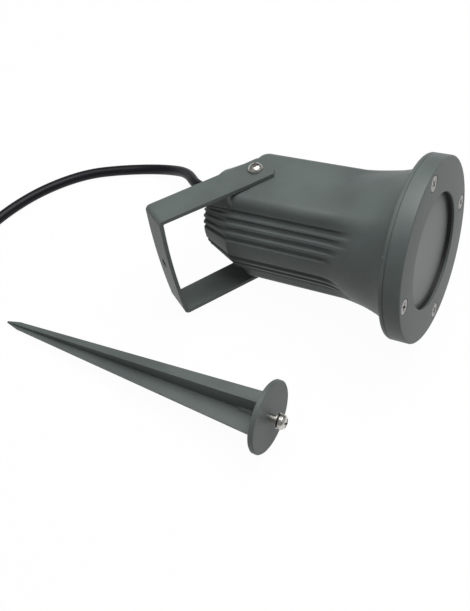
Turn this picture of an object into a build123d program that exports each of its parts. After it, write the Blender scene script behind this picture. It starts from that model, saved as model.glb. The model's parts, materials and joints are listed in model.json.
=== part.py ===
from build123d import *
import math
import os

# Garden spike spotlight, laid out as a set: the lamp head on its side with its
# bracket, the spike beside it, and the rubber lead running off to a coil.
# The head is modelled in its own frame: X points out of the lamp, Z runs along
# the pivot screws, and the pivot axis crosses the lamp's axis at the origin.

# ------------------------------------------------------------ driving sizes (mm)
# front ring and flange, laid out outwards from the glass
RING_FRONT_X = 91.0
RING_T = 4.7
RING_EDGE_R = 0.9
SEAM_EDGE = 0.35
FLANGE_T = 5.5
FLANGE_EDGE_R = 0.8
FLANGE_STEP = 5.5
LIP_T = 1.2
LIP_OVERLAP = 3.7
RING_SCREW_INSET = 6.6
RING_RIM_W = 6.0
RING_SCREW_COUNT = 4
RING_SCREW_L = 8.5
CSK_HEAD_R = 3.6
CSK_HEAD_H = 2.1
CSK_GAP = 0.3

# glass and its two seals
GLASS_R = 32.0
GLASS_T = 4.0
GLASS_GAP = 0.4
GASKET_T = 2.0
GASKET_W = 3.0
SEAT_SEAL_T = 1.5
SEAT_LEDGE_W = 3.6

# housing body
BODY_R = 28.7
REAR_X = -24.5
REAR_R = 21.3
REAR_EDGE_R = 1.5
CHAMFER_X = -6.5
FLARE_FOOT_R = 25.6
FLARE_FOOT_X = 45.0
WALL_REAR = 3.5
CAVITY_R = 24.0
CAVITY_REAR_R = 18.0
CAVITY_END_X = 50.0
CAVITY_TAPER_L = 12.0

# pads that carry the bracket
PAD_Z = 26.8
PAD_HALF_W = 20.8
PAD_REAR_X = -8.0
PAD_SHOULDER_R = 4.6
PAD_CORNER_R = 6.5

# grooves between the ribs
GROOVE_DEPTH = 1.4
GROOVE_FLOOR_W = 1.5
GROOVE_MOUTH_W = 2.5
GROOVE_EDGE = 0.35
GROOVE_ANGLES = (12.5, 22.0, 31.5, 40.0)
GROOVE_END_X = (54.0, 57.5, 60.5, 62.5)
GROOVE_RUNOUT = 5.0

# bracket of flat strip, and its pivot
STRIP_W = 17.3
STRIP_T = 2.0
ARM_REACH = 57.0
ARM_END = 8.1
ARM_Z = 29.3
ARM_SPREAD = 1.2
SEAT_L = 8.0
WEB_BOW = 1.2
BEND_R = 2.6
CLIP_LENGTH = 2.7
CLIP_WIDTH = 4.2
CLIP_EDGE_R = 1.0
WEB_HOLE_R = 2.25
BRACKET_ANGLE = 56.65
PIVOT_R = 2.0
PIVOT_GAP = 0.08
PIVOT_L = 8.0
PIVOT_BOSS_R = 5.0
PIVOT_BOSS_H = 5.0
PAN_HEAD_R = 3.7
PAN_HEAD_H = 2.9
WASHER_R = 6.0
FACE_GAP = 0.04
THREAD_GAP = 0.05
HOLE_SPARE = 1.2

# spike, in its own frame: X runs from the tip to the plate's face
SPIKE_L = 158.4
PLATE_R = 17.8
PLATE_T = 2.8
PLATE_EDGE_R = 0.5
BLADE_SPAN = 11.7
BLADE_ROOT_T = 2.8
BLADE_EDGE_T = 1.4
BLADE_TIP_SPAN = 2.1
POINT_L = 7.5
POINT_SPAN = 0.5
BOSS_R = 3.2
BOSS_L = 14.5
SPIKE_X = 51.0
SPIKE_Y = -98.0
SPIKE_SCREW_L = 14.0
SPIKE_SCREW_OUT = 3.2
SPIKE_HEAD_R = 3.6
SPIKE_HEAD_H = 2.9
FLAT_WASHER_R = 3.7
FLAT_WASHER_T = 0.7
SPRING_WASHER_R = 3.3
SPRING_WASHER_T = 0.9

# lead: a 6 mm rubber cable of 1.5 m
CABLE_D = 6.0
CABLE_Y = 11.5
COIL_R = 44.2
COIL_PITCH = 6.8
COIL_TURNS = 2.5
COIL_CLIMB_DIP = 1.0
COIL_LIFT = 6.5
COIL_CENTRE_X = -204.2
COIL_CENTRE_Y = -85.0
CORE_D = 2.2
CORE_L = 20.0
CORE_SPREAD = 1.9
CORE_BEND_R = 12.0
FERRULE_D = 1.5
FERRULE_L = 7.0
CUT_FLAT = 0.5
GROMMET_NOSE_L = 9.0
GROMMET_TAIL_L = 13.0
GROMMET_R = 5.2
GROMMET_NOSE_R = 3.9
GROMMET_COLLAR_R = 6.2
GROMMET_COLLAR_T = 1.6

# lamp, its holder and the wiring inside
LAMP_R = 25.0
LAMP_L = 54.0
LAMP_RIM_T = 4.0
LAMP_CAP_R = 11.5
LAMP_CAP_L = 14.0
LAMP_WALL = 1.4
COVER_T = 1.6
PIN_R = 1.5
PIN_HEAD_R = 2.5
PIN_L = 7.0
PIN_SPACING = 10.0
HOLDER_R = 13.0
HOLDER_L = 20.0
HOLDER_X = 4.6
STRAP_T = 1.2
STRAP_W = 12.0
STRAP_END = 4.0
POST_INSET = 6.0
POST_R = 3.2
SMALL_SCREW_R = 1.5
SMALL_HEAD_R = 2.7
SMALL_HEAD_H = 1.8
HOLDER_SCREW_Y = 8.0
HOLDER_SCREW_L = 6.0
STRAP_SCREW_L = 7.0
TERMINAL_GRIP_L = 5.0
EARTH_SCREW_L = 5.5
STRAP_TURN = 50.0
TERMINAL_X = -15.0
TERMINAL_L = 10.0
TERMINAL_Y = -6.0
TERMINAL_W = 12.0
TERMINAL_H = 14.0
TERMINAL_PITCH = 8.0
CLAMP_Y = 4.0
EARTH_Y = 4.0
EARTH_Z = -14.0
EARTH_BOSS_L = 3.0
TAG_T = 1.0
TAG_L = 4.0
LEAD_D = 1.8
LEAD_BEND = 1.8

# ------------------------------------------------------------ sizes that follow
OPENING_R = GLASS_R - LIP_OVERLAP
RING_SCREW_PCR = GLASS_R + GLASS_GAP + RING_SCREW_INSET
RING_R = RING_SCREW_PCR + RING_RIM_W
FLARE_END_R = RING_R - FLANGE_STEP
SEAM_X = RING_FRONT_X - RING_T
FLANGE_X = SEAM_X - FLANGE_T
GASKET_X = RING_FRONT_X - LIP_T
GLASS_X = GASKET_X - GASKET_T
GLASS_BACK_X = GLASS_X - GLASS_T
SEAT_X = GLASS_BACK_X - SEAT_SEAL_T
SEAT_BORE_R = GLASS_R - SEAT_LEDGE_W
CAVITY_REAR_X = REAR_X + WALL_REAR
ARM_INNER_Z = ARM_Z - STRIP_T
PIVOT_WASHER_T = ARM_INNER_Z - PAD_Z - 2 * FACE_GAP
PIVOT_HEAD_Z = ARM_Z + FACE_GAP
CABLE_R = CABLE_D / 2
NOSE_X = REAR_X - GROMMET_NOSE_L
CABLE_INNER_END_X = REAR_X + GROMMET_TAIL_L + 1.0
HOLDER_END_X = HOLDER_X + HOLDER_L
LAMP_REAR_X = HOLDER_END_X + 0.4
LAMP_FRONT_X = LAMP_REAR_X + LAMP_L
POST_Y = CAVITY_R - POST_INSET
STRAP_L = 2 * (POST_Y + STRAP_END)


# ------------------------------------------------------------ shape helpers
def spun(points):
    """A solid of revolution about X from (x, radius) points."""
    return revolve(Plane.XZ * make_face(Polyline(*points, close=True)), Axis.X, 360)


def rod_x(x0, x1, radius, y=0.0, z=0.0):
    """A round bar along X."""
    middle = Pos((x0 + x1) / 2, y, z)
    return middle * Rot(0, 90, 0) * Cylinder(radius, abs(x1 - x0))


def rod_z(z0, z1, radius, x=0.0, y=0.0):
    """A round bar along Z."""
    return Pos(x, y, (z0 + z1) / 2) * Cylinder(radius, abs(z1 - z0))


def block(low, high):
    """A box between two corners."""
    size = [b - a for a, b in zip(low, high)]
    middle = [(a + b) / 2 for a, b in zip(low, high)]
    return Pos(*middle) * Box(*size)


def bar(origin, way, radius, length):
    """A round bar from a point along a direction."""
    return extrude(Plane(origin=origin, z_dir=way) * Circle(radius), length)


def ring_x(x0, x1, outer, inner):
    """A flat ring about X."""
    return rod_x(x0, x1, outer) - rod_x(x0 - 1, x1 + 1, inner)


def cross_recess(width, depth):
    """A cross-shaped driver recess, cut down from z = 0."""
    arm = Box(width, width * 0.24, depth * 2)
    return arm + Rot(0, 0, 90) * arm


def pan_screw(shank_r, length, head_r, head_h):
    """A pan-head screw: its head's underside at z = 0, its shank downwards."""
    side = head_h * 0.45
    dome = ThreePointArc((head_r, side), (head_r * 0.72, head_h * 0.88), (0, head_h))
    outline = Polyline((0, head_h), (0, -length), (shank_r, -length), (shank_r, 0), (head_r, 0),
                       (head_r, side))
    screw = revolve(Plane.XZ * make_face([*outline.edges(), dome]), Axis.Z, 360)
    return screw - Pos(0, 0, head_h) * cross_recess(head_r * 1.15, head_h * 0.5)


def csk_screw(shank_r, length, head_r, head_h):
    """A countersunk screw: its face at z = 0, its shank downwards."""
    rim = 0.35
    points = [(0, 0), (head_r, 0), (head_r, -rim), (shank_r, -head_h - rim), (shank_r, -length),
              (0, -length)]
    screw = revolve(Plane.XZ * make_face(Polyline(*points, close=True)), Axis.Z, 360)
    return screw - cross_recess(head_r * 1.1, head_h * 0.55)


def group(solids):
    """Several separate solids as one node."""
    return Compound([solid for item in solids for solid in item.solids()])


def along_x(solid):
    """Turns a piece modelled along Z to point along X."""
    return Rot(0, 90, 0) * solid


def strap_way():
    """The turn of the holder's strap and its screws about the lamp's axis."""
    return Rot(STRAP_TURN, 0, 0)


def around_ring(angle):
    """The place of a ring screw, at an angle from +Z about the lamp's axis."""
    return Rot(angle, 0, 0) * Pos(0, 0, RING_SCREW_PCR)


# ------------------------------------------------------------ housing
def chamfered_body(radius, x_end):
    """The round body with its long chamfer towards the rear face."""
    step = BODY_R - radius
    rear = REAR_R - step
    points = [(REAR_X, 0), (REAR_X, rear - REAR_EDGE_R), (REAR_X + REAR_EDGE_R, rear),
              (CHAMFER_X, radius), (x_end, radius), (x_end, 0)]
    return spun(points)


def flare_profile():
    """Radii of the flare, from where it leaves the body to the flange."""
    reach = FLANGE_X - FLARE_FOOT_X
    rise = FLARE_END_R - FLARE_FOOT_R
    steps = ((0.0, 0.0), (0.11, 0.09), (0.22, 0.235), (0.335, 0.36), (0.447, 0.46), (0.56, 0.545),
             (0.70, 0.645), (0.84, 0.78), (1.0, 1.0))
    return [(FLARE_FOOT_X + reach * a, FLARE_FOOT_R + rise * b) for a, b in steps]


def flare_radius(x):
    """The flare's radius at x, between its profile points."""
    points = flare_profile()
    for (xa, ra), (xb, rb) in zip(points, points[1:]):
        if xa <= x <= xb:
            return ra + (rb - ra) * (x - xa) / (xb - xa)
    return points[0][1] if x < points[0][0] else points[-1][1]


def flare_and_flange():
    """The flare's curved skin, and the flange that the ring sits on."""
    points = flare_profile()
    curve = Spline(*points)
    edge = FLANGE_EDGE_R
    outline = Polyline(points[-1], (FLANGE_X, RING_R - edge), (FLANGE_X + edge, RING_R),
                       (SEAM_X - SEAM_EDGE, RING_R), (SEAM_X, RING_R - SEAM_EDGE), (SEAM_X, 0),
                       (FLARE_FOOT_X, 0), points[0])
    return revolve(Plane.XZ * make_face([curve, *outline.edges()]), Axis.X, 360)


def pad():
    """One raised pad above the body, its shoulders rounded."""
    end = FLANGE_X - 2
    solid = block((PAD_REAR_X, -PAD_HALF_W, 0), (end, PAD_HALF_W, PAD_Z))
    upright = solid.edges().filter_by(Axis.Z).group_by(Axis.X)[0]
    solid = fillet(upright, PAD_CORNER_R)
    top = solid.faces().sort_by(Axis.Z)[-1]
    rim = [e for e in top.edges() if e.center().X < end - 0.1]
    return fillet(rim, PAD_SHOULDER_R)


def groove_section(x, low, high):
    """The groove's cutter at x: its floor at radius low, its soft mouth at the skin's radius high."""
    mouth = max(high, low + 0.2)
    edge = max(mouth - GROOVE_EDGE, low + 0.1)
    half = GROOVE_MOUTH_W / 2
    right = [(GROOVE_FLOOR_W / 2, low), (half, edge), (half + GROOVE_EDGE, mouth),
             (half + GROOVE_EDGE + 1.5, mouth + 1.5)]
    left = [(-across, up) for across, up in reversed(right)]
    plane = Plane(origin=(x, 0, 0), x_dir=(0, 1, 0), z_dir=(1, 0, 0))
    return make_face(plane * Polyline(*right, *left, close=True))


def groove(angle, end_x):
    """One groove along the chamfer and the body, which ends blunt in the flare."""
    slope = (BODY_R - REAR_R) / (CHAMFER_X - REAR_X - REAR_EDGE_R)
    rear_x = REAR_X - 3.0
    rear_r = REAR_R - slope * (REAR_X + REAR_EDGE_R - rear_x)
    skin = [(rear_x, rear_r), (CHAMFER_X, BODY_R)]
    level_x = end_x - GROOVE_RUNOUT
    rise_x = end_x - GROOVE_RUNOUT * 0.4
    skin += [(x, max(BODY_R, flare_radius(x))) for x in (min(level_x, 52.0) - 0.5, level_x, rise_x, end_x)]
    lows = [r - GROOVE_DEPTH for x, r in skin[:2]] + [BODY_R - GROOVE_DEPTH] * 2
    lift = skin[-1][1] + 0.2 - lows[-1]
    lows += [lows[-1] + lift * 0.3, lows[-1] + lift]
    cutter = loft([groove_section(x, low, r) for (x, r), low in zip(skin, lows)], ruled=True)
    return Rot(angle, 0, 0) * cutter


def housing_outside():
    """Body, pads, grooves, flare and flange as one casting."""
    body = chamfered_body(BODY_R, FLANGE_X - 2)
    for side in (1, -1):
        flat = block((REAR_X - 5, -BODY_R, PAD_Z), (FLANGE_X, BODY_R, BODY_R + 5))
        body -= flat if side > 0 else Rot(180, 0, 0) * flat
        body += pad() if side > 0 else Rot(180, 0, 0) * pad()
    body += flare_and_flange()
    for side in (90, -90):
        for offset, end_x in zip(GROOVE_ANGLES, GROOVE_END_X):
            body -= groove(side + offset, end_x)
            body -= groove(side - offset, end_x)
    return body


def housing_cavity():
    """The hollow for the lamp, its holder and the wiring, with the glass seat in front."""
    taper_x = CAVITY_END_X + CAVITY_TAPER_L
    pocket_r = GLASS_R + GLASS_GAP
    points = [(CAVITY_REAR_X, 0), (CAVITY_REAR_X, CAVITY_REAR_R), (CHAMFER_X, CAVITY_R),
              (CAVITY_END_X, CAVITY_R), (taper_x, SEAT_BORE_R), (SEAT_X, SEAT_BORE_R), (SEAT_X, pocket_r),
              (SEAM_X + 1, pocket_r), (SEAM_X + 1, 0)]
    return spun(points)


def housing():
    """The die-cast housing."""
    body = housing_outside() - housing_cavity()
    for side in (0, 180):
        boss = rod_z(PAD_Z - PIVOT_BOSS_H - 2, PAD_Z - 1, PIVOT_BOSS_R)
        body += Rot(side, 0, 0) * boss
    for y in (POST_Y, -POST_Y):
        body += strap_way() * rod_x(REAR_X + 1, HOLDER_X - STRAP_T - FACE_GAP, POST_R, y)
    body += rod_x(REAR_X + 1, CAVITY_REAR_X + EARTH_BOSS_L, POST_R, EARTH_Y, EARTH_Z)
    body += rod_x(REAR_X + 1, TERMINAL_X - FACE_GAP, POST_R, TERMINAL_Y)
    hole_r = PIVOT_R + THREAD_GAP
    for side in (0, 180):
        depth = PIVOT_L - (PIVOT_HEAD_Z - PAD_Z)
        body -= Rot(side, 0, 0) * rod_z(PAD_Z - depth - 0.5, PAD_Z + 1, hole_r)
    for i in range(RING_SCREW_COUNT):
        spot = around_ring(i * 360 / RING_SCREW_COUNT)
        depth = RING_SCREW_L - RING_T + 0.5
        body -= spot * rod_x(SEAM_X - depth, SEAM_X + 1, PIVOT_R + THREAD_GAP)
    body -= rod_x(REAR_X - 5, CAVITY_REAR_X + 5, GROMMET_R + THREAD_GAP, CABLE_Y)
    small = SMALL_SCREW_R + THREAD_GAP
    for y in (POST_Y, -POST_Y):
        body -= strap_way() * rod_x(HOLDER_X - STRAP_SCREW_L - HOLE_SPARE, HOLDER_X + 1, small, y)
    earth_end = CAVITY_REAR_X + EARTH_BOSS_L + TAG_T - EARTH_SCREW_L - HOLE_SPARE
    body -= rod_x(earth_end, CAVITY_REAR_X + EARTH_BOSS_L + 1, small, EARTH_Y, EARTH_Z)
    body -= rod_x(TERMINAL_X - TERMINAL_GRIP_L - HOLE_SPARE, TERMINAL_X + 1, small, TERMINAL_Y)
    return body


# ------------------------------------------------------------ ring, glass and seals
def front_ring():
    """The ring that clamps the glass, with its lip and four countersunk holes."""
    edge = RING_EDGE_R
    turn = ThreePointArc((RING_FRONT_X - edge, RING_R), (RING_FRONT_X - edge * 0.29, RING_R - edge * 0.29),
                         (RING_FRONT_X, RING_R - edge))
    pocket_r = GLASS_R + GLASS_GAP
    outline = Polyline((RING_FRONT_X, RING_R - edge), (RING_FRONT_X, OPENING_R + 0.3),
                       (RING_FRONT_X - 0.3, OPENING_R), (GASKET_X, OPENING_R), (GASKET_X, pocket_r),
                       (SEAM_X, pocket_r), (SEAM_X, RING_R - SEAM_EDGE), (SEAM_X + SEAM_EDGE, RING_R),
                       (RING_FRONT_X - edge, RING_R))
    ring = revolve(Plane.XZ * make_face([turn, *outline.edges()]), Axis.X, 360)
    for i in range(RING_SCREW_COUNT):
        spot = around_ring(i * 360 / RING_SCREW_COUNT)
        ring -= spot * rod_x(SEAM_X - 1, RING_FRONT_X + 1, PIVOT_R + 0.25)
        ring -= spot * countersink()
    return ring


def countersink():
    """The cone that a ring screw's head sits in, with a thin gap round it."""
    wide = CSK_HEAD_R + CSK_GAP
    low = RING_FRONT_X - CSK_HEAD_H - 0.35
    points = [(RING_FRONT_X + 1, 0), (RING_FRONT_X + 1, wide), (RING_FRONT_X - 0.35, wide),
              (low, PIVOT_R + CSK_GAP), (low, 0)]
    return spun(points)


def ring_screws():
    """Four countersunk screws, as a group."""
    screw = along_x(csk_screw(PIVOT_R, RING_SCREW_L, CSK_HEAD_R, CSK_HEAD_H))
    flush = Pos(RING_FRONT_X - 0.15, 0, 0)
    turn = 360 / RING_SCREW_COUNT
    spots = [around_ring(i * turn) * flush for i in range(RING_SCREW_COUNT)]
    return group([spot * Rot(18 + 31 * i, 0, 0) * screw for i, spot in enumerate(spots)])


def lens_glass():
    """The frosted glass disc, its edges ground off."""
    cut = 0.4
    points = [(GLASS_BACK_X, 0), (GLASS_BACK_X, GLASS_R - cut), (GLASS_BACK_X + cut, GLASS_R),
              (GLASS_X - cut, GLASS_R), (GLASS_X, GLASS_R - cut), (GLASS_X, 0)]
    return spun(points)


def lens_gasket():
    """The soft ring that shows between the ring's lip and the glass."""
    return ring_x(GLASS_X, GASKET_X, OPENING_R + 0.4 + GASKET_W, OPENING_R + 0.4)


def seat_seal():
    """The seal between the glass and its seat in the housing."""
    return ring_x(SEAT_X, GLASS_BACK_X, GLASS_R, SEAT_BORE_R + 0.2)


# ------------------------------------------------------------ bracket
def bracket_outline():
    """The bent strip seen along its width: two arms that spread, and a bowed web."""
    web_z = ARM_Z + ARM_SPREAD
    t = STRIP_T
    upper = [(-ARM_REACH, web_z), (-SEAT_L, ARM_Z), (ARM_END, ARM_Z), (ARM_END, ARM_Z - t),
             (-SEAT_L, ARM_Z - t), (-ARM_REACH + t, web_z - t)]
    lower = [(x, -z) for x, z in upper]
    outside = ThreePointArc(upper[0], (-ARM_REACH - WEB_BOW, 0), lower[0])
    inside = ThreePointArc(upper[-1], (-ARM_REACH - WEB_BOW + t, 0), lower[-1])
    face = make_face([outside, inside, *Polyline(*upper).edges(), *Polyline(*lower).edges()])
    for (x, z), radius in ((upper[0], BEND_R), (upper[-1], BEND_R - STRIP_T)):
        corners = [v for v in face.vertices() if abs(v.X - x) < 0.05 and abs(abs(v.Y) - z) < 0.05]
        face = fillet(corners, radius)
    return face


def bracket():
    """The U bracket, turned about the pivot to where it lies in the photograph."""
    strip = extrude(Plane.XZ * bracket_outline(), STRIP_W / 2, both=True)
    half = STRIP_W / 2
    for side in (1, -1):
        corner = Polyline((ARM_END + 1, side * (half - CLIP_WIDTH) - side * CLIP_WIDTH / CLIP_LENGTH),
                          (ARM_END + 1, side * (half + 1)), (ARM_END - CLIP_LENGTH, side * (half + 1)),
                          (ARM_END - CLIP_LENGTH, side * half), close=True)
        strip -= extrude(make_face(corner), ARM_Z * 2, both=True)
    spots = [(ARM_END, half - CLIP_WIDTH), (ARM_END - CLIP_LENGTH, half)]
    corners = [e for e in strip.edges().filter_by(Axis.Z)
               for x, y in spots if abs(e.center().X - x) + abs(abs(e.center().Y) - y) < 0.01]
    strip = fillet(corners, CLIP_EDGE_R)
    strip -= rod_z(-ARM_Z * 2, ARM_Z * 2, PIVOT_R + PIVOT_GAP)
    strip -= rod_x(-ARM_REACH * 1.2, -ARM_REACH * 0.8, WEB_HOLE_R)
    return Rot(0, 0, BRACKET_ANGLE) * strip


def pivot_screws():
    """The two pan-head pivot screws, as a group."""
    screw = Pos(0, 0, PIVOT_HEAD_Z) * Rot(0, 0, 20) * pan_screw(PIVOT_R, PIVOT_L, PAN_HEAD_R, PAN_HEAD_H)
    return group([screw, Rot(180, 0, 0) * screw])


def pivot_washers():
    """The two friction washers between the arms and the pads, as a group."""
    low = PAD_Z + FACE_GAP
    washer = rod_z(low, low + PIVOT_WASHER_T, WASHER_R)
    washer -= rod_z(low - 1, low + PIVOT_WASHER_T + 1, PIVOT_R + PIVOT_GAP)
    return group([washer, Rot(180, 0, 0) * washer])


# ------------------------------------------------------------ lamp, holder and wiring
def gu10_reflector():
    """The lamp's bowl, open at the front."""
    start = LAMP_REAR_X + LAMP_CAP_L
    rim_x = LAMP_FRONT_X - LAMP_RIM_T
    reach = rim_x - start
    neck_r = LAMP_CAP_R
    curve = [(start + reach * a, neck_r + (LAMP_R - neck_r) * math.sqrt(a)) for a in (0.12, 0.3, 0.55, 0.8)]
    outer = [(start, neck_r), *curve, (rim_x, LAMP_R), (LAMP_FRONT_X, LAMP_R)]
    wall = LAMP_WALL
    inner = [(x + wall, r - wall) for x, r in outer[:-1]]
    inner_end = [(LAMP_FRONT_X, LAMP_R - wall)]
    points = outer + inner_end + inner[::-1] + [(start + wall, 0), (start, 0)]
    return spun(points)


def gu10_cover():
    """The lamp's front cover glass, inside its rim."""
    return rod_x(LAMP_FRONT_X - COVER_T, LAMP_FRONT_X - 0.2, LAMP_R - LAMP_WALL - 0.1)


def gu10_base():
    """The lamp's ceramic base."""
    end = LAMP_REAR_X + LAMP_CAP_L
    points = [(LAMP_REAR_X, 0), (LAMP_REAR_X, LAMP_CAP_R - 1), (LAMP_REAR_X + 1, LAMP_CAP_R),
              (end, LAMP_CAP_R), (end, 0)]
    return spun(points)


def gu10_pins():
    """The lamp's two headed pins, as a group."""
    end_x = LAMP_REAR_X - PIN_L
    pin = rod_x(end_x, LAMP_REAR_X, PIN_R) + rod_x(end_x, end_x + 2, PIN_HEAD_R)
    return group([Pos(0, 0, side * PIN_SPACING / 2) * pin for side in (1, -1)])


def lamp_holder():
    """The ceramic holder with its two pin sockets."""
    body = rod_x(HOLDER_X, HOLDER_END_X, HOLDER_R)
    socket_x = HOLDER_END_X - PIN_L - 2
    for side in (1, -1):
        body -= rod_x(socket_x, HOLDER_END_X + 1, PIN_HEAD_R + 0.3, 0, side * PIN_SPACING / 2)
        hole_r = SMALL_SCREW_R + THREAD_GAP
        body -= strap_way() * rod_x(HOLDER_X - 1, HOLDER_X + HOLDER_SCREW_L, hole_r, side * HOLDER_SCREW_Y)
    return body


def holder_bracket():
    """The steel strap that carries the holder on the housing's two posts."""
    back = HOLDER_X - STRAP_T
    strap = block((back, -STRAP_L / 2, -STRAP_W / 2), (HOLDER_X, STRAP_L / 2, STRAP_W / 2))
    for y in (POST_Y, -POST_Y, HOLDER_SCREW_Y, -HOLDER_SCREW_Y):
        strap -= rod_x(back - 1, HOLDER_X + 1, SMALL_SCREW_R + 0.2, y)
    return strap_way() * strap


def small_screw(length):
    """A small pan-head screw that points along -X, its head's underside at x = 0."""
    return along_x(pan_screw(SMALL_SCREW_R, length, SMALL_HEAD_R, SMALL_HEAD_H))


def bracket_screws():
    """The two screws that hold the strap on its posts, as a group."""
    screw = small_screw(STRAP_SCREW_L)
    return strap_way() * group([Pos(HOLDER_X, y, 0) * screw for y in (POST_Y, -POST_Y)])


def holder_screws():
    """The two screws that hold the holder on its strap, as a group."""
    screw = Rot(0, 180, 0) * small_screw(HOLDER_SCREW_L)
    back = HOLDER_X - STRAP_T
    return strap_way() * group([Pos(back, side * HOLDER_SCREW_Y, 0) * screw for side in (1, -1)])


def terminal_rows():
    """Heights of the terminal block's two poles."""
    return (TERMINAL_PITCH / 2, -TERMINAL_PITCH / 2)


def terminal_block():
    """The two-pole terminal block, with its wire and screw holes."""
    half_w = TERMINAL_W / 2
    low = (TERMINAL_X, TERMINAL_Y - half_w, -TERMINAL_H / 2)
    high = (TERMINAL_X + TERMINAL_L, TERMINAL_Y + half_w, TERMINAL_H / 2)
    solid = block(low, high)
    middle_x = TERMINAL_X + TERMINAL_L / 2
    for z in terminal_rows():
        solid -= Pos(middle_x, TERMINAL_Y, z) * Rot(90, 0, 0) * Cylinder(LEAD_D / 2 + 0.2, TERMINAL_W + 2)
        for side in (1, -1):
            solid -= rod_x(middle_x + 1.4, high[0] + 1, 1.25, TERMINAL_Y + side * CLAMP_Y, z)
    return solid - rod_x(low[0] - 1, high[0] + 1, SMALL_SCREW_R + 0.2, TERMINAL_Y)


def terminal_clamps():
    """The terminal block's four wire screws, as a group."""
    x1 = TERMINAL_X + TERMINAL_L - 0.6
    screw = rod_x(x1 - 2.6, x1, 1.15) - Pos(x1, 0, 0) * Box(1.0, 2.4, 0.5)
    spots = [(TERMINAL_Y + side * CLAMP_Y, z) for z in terminal_rows() for side in (1, -1)]
    return group([Pos(0, y, z) * screw for y, z in spots])


def terminal_screw():
    """The screw that holds the terminal block on its post."""
    return Pos(TERMINAL_X + TERMINAL_L, TERMINAL_Y, 0) * small_screw(TERMINAL_L + TERMINAL_GRIP_L)


def earth_screw():
    """The housing's earth screw on its boss, over the earth lead's tag."""
    return Pos(CAVITY_REAR_X + EARTH_BOSS_L + TAG_T, EARTH_Y, EARTH_Z) * small_screw(EARTH_SCREW_L)


def earth_tag():
    """The ring tag under the earth screw, with a short tail for its lead."""
    x0 = CAVITY_REAR_X + EARTH_BOSS_L + FACE_GAP
    x1 = x0 + TAG_T - 2 * FACE_GAP
    tail = block((x0, EARTH_Y - 1.2, EARTH_Z), (x1, EARTH_Y + 1.2, EARTH_Z + TAG_L))
    tag = rod_x(x0, x1, 3.0, EARTH_Y, EARTH_Z) + tail
    return tag - rod_x(x0 - 1, x1 + 1, SMALL_SCREW_R + 0.1, EARTH_Y, EARTH_Z)


def tube(points, radius, bends):
    """A round tube along straight runs joined by arcs."""
    path = FilletPolyline(*points, radius=bends)
    start = Plane(origin=path @ 0, z_dir=path % 0)
    return sweep(start * Circle(radius), path=path)


def inner_leads():
    """The wires inside the housing, by name."""
    middle_x = TERMINAL_X + TERMINAL_L / 2
    start_x = CABLE_INNER_END_X + 0.2
    turn_x = start_x + 4.5
    live, neutral = terminal_rows()
    tag_x = CAVITY_REAR_X + EARTH_BOSS_L + TAG_T / 2
    tag_z = EARTH_Z + TAG_L
    core_y = CABLE_Y - 0.8
    end_x = HOLDER_X - 0.03
    routes = {"lead_earth": [(start_x, CABLE_Y + 1.6, 0), (turn_x, CABLE_Y + 1.6, -0.5),
                             (turn_x - 1.7, CABLE_Y - 1, -6), (tag_x, EARTH_Y, tag_z + 4.5),
                             (tag_x, EARTH_Y, tag_z + 0.03)]}
    for name, z in (("lead_brown", live), ("lead_blue", neutral)):
        side = math.copysign(1, z)
        routes[name] = [(start_x, core_y, side * 1.35), (turn_x, core_y, side * 1.8),
                        (turn_x, 6.5, side * 3.6), (middle_x, 4.0, z), (middle_x, -3.5, z)]
    for name, z, over_z, end_y, end_z in (("lead_lamp_live", live, 5.0, -9.5, 5.5),
                                          ("lead_lamp_neutral", neutral, -2.5, -10.5, 1.0)):
        routes[name] = [(middle_x, -8.0, z), (middle_x, -14.8, z), (middle_x + 5, -14.8, over_z),
                        (HOLDER_X - 6, end_y, end_z), (end_x, end_y, end_z)]
    return {name: tube(points, LEAD_D / 2, LEAD_BEND) for name, points in routes.items()}


def grommet():
    """The tapered rubber strain relief, with its collar against the inner wall."""
    collar_x = CAVITY_REAR_X
    tail_x = REAR_X + GROMMET_TAIL_L
    front_x = collar_x + GROMMET_COLLAR_T
    bore = CABLE_R + 0.05
    points = [(NOSE_X, bore), (NOSE_X, GROMMET_NOSE_R), (REAR_X, GROMMET_R), (collar_x, GROMMET_R),
              (collar_x, GROMMET_COLLAR_R), (front_x, GROMMET_COLLAR_R), (front_x, GROMMET_R - 0.6),
              (tail_x, GROMMET_NOSE_R), (tail_x, bore)]
    return Pos(0, CABLE_Y, 0) * spun(points)


def cable_inner():
    """The end of the lead that the housing holds, inside the grommet."""
    return rod_x(NOSE_X, CABLE_INNER_END_X, CABLE_R, CABLE_Y)


# ------------------------------------------------------------ spike
def cross_section(x, span, root_t, edge_t):
    """The spike's cross-shaped section at x, its blades thinner at their edges."""
    root = root_t / 2
    edge = edge_t / 2
    points = []
    for quarter in range(4):
        turn = math.radians(90 * quarter)
        for a, b in ((span, -edge), (span, edge), (root, root)):
            points.append((a * math.cos(turn) - b * math.sin(turn), a * math.sin(turn) + b * math.cos(turn)))
    outline = Polyline(*points, close=True)
    return make_face(Plane(origin=(x, 0, 0), x_dir=(0, 1, 0), z_dir=(1, 0, 0)) * outline)


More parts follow.
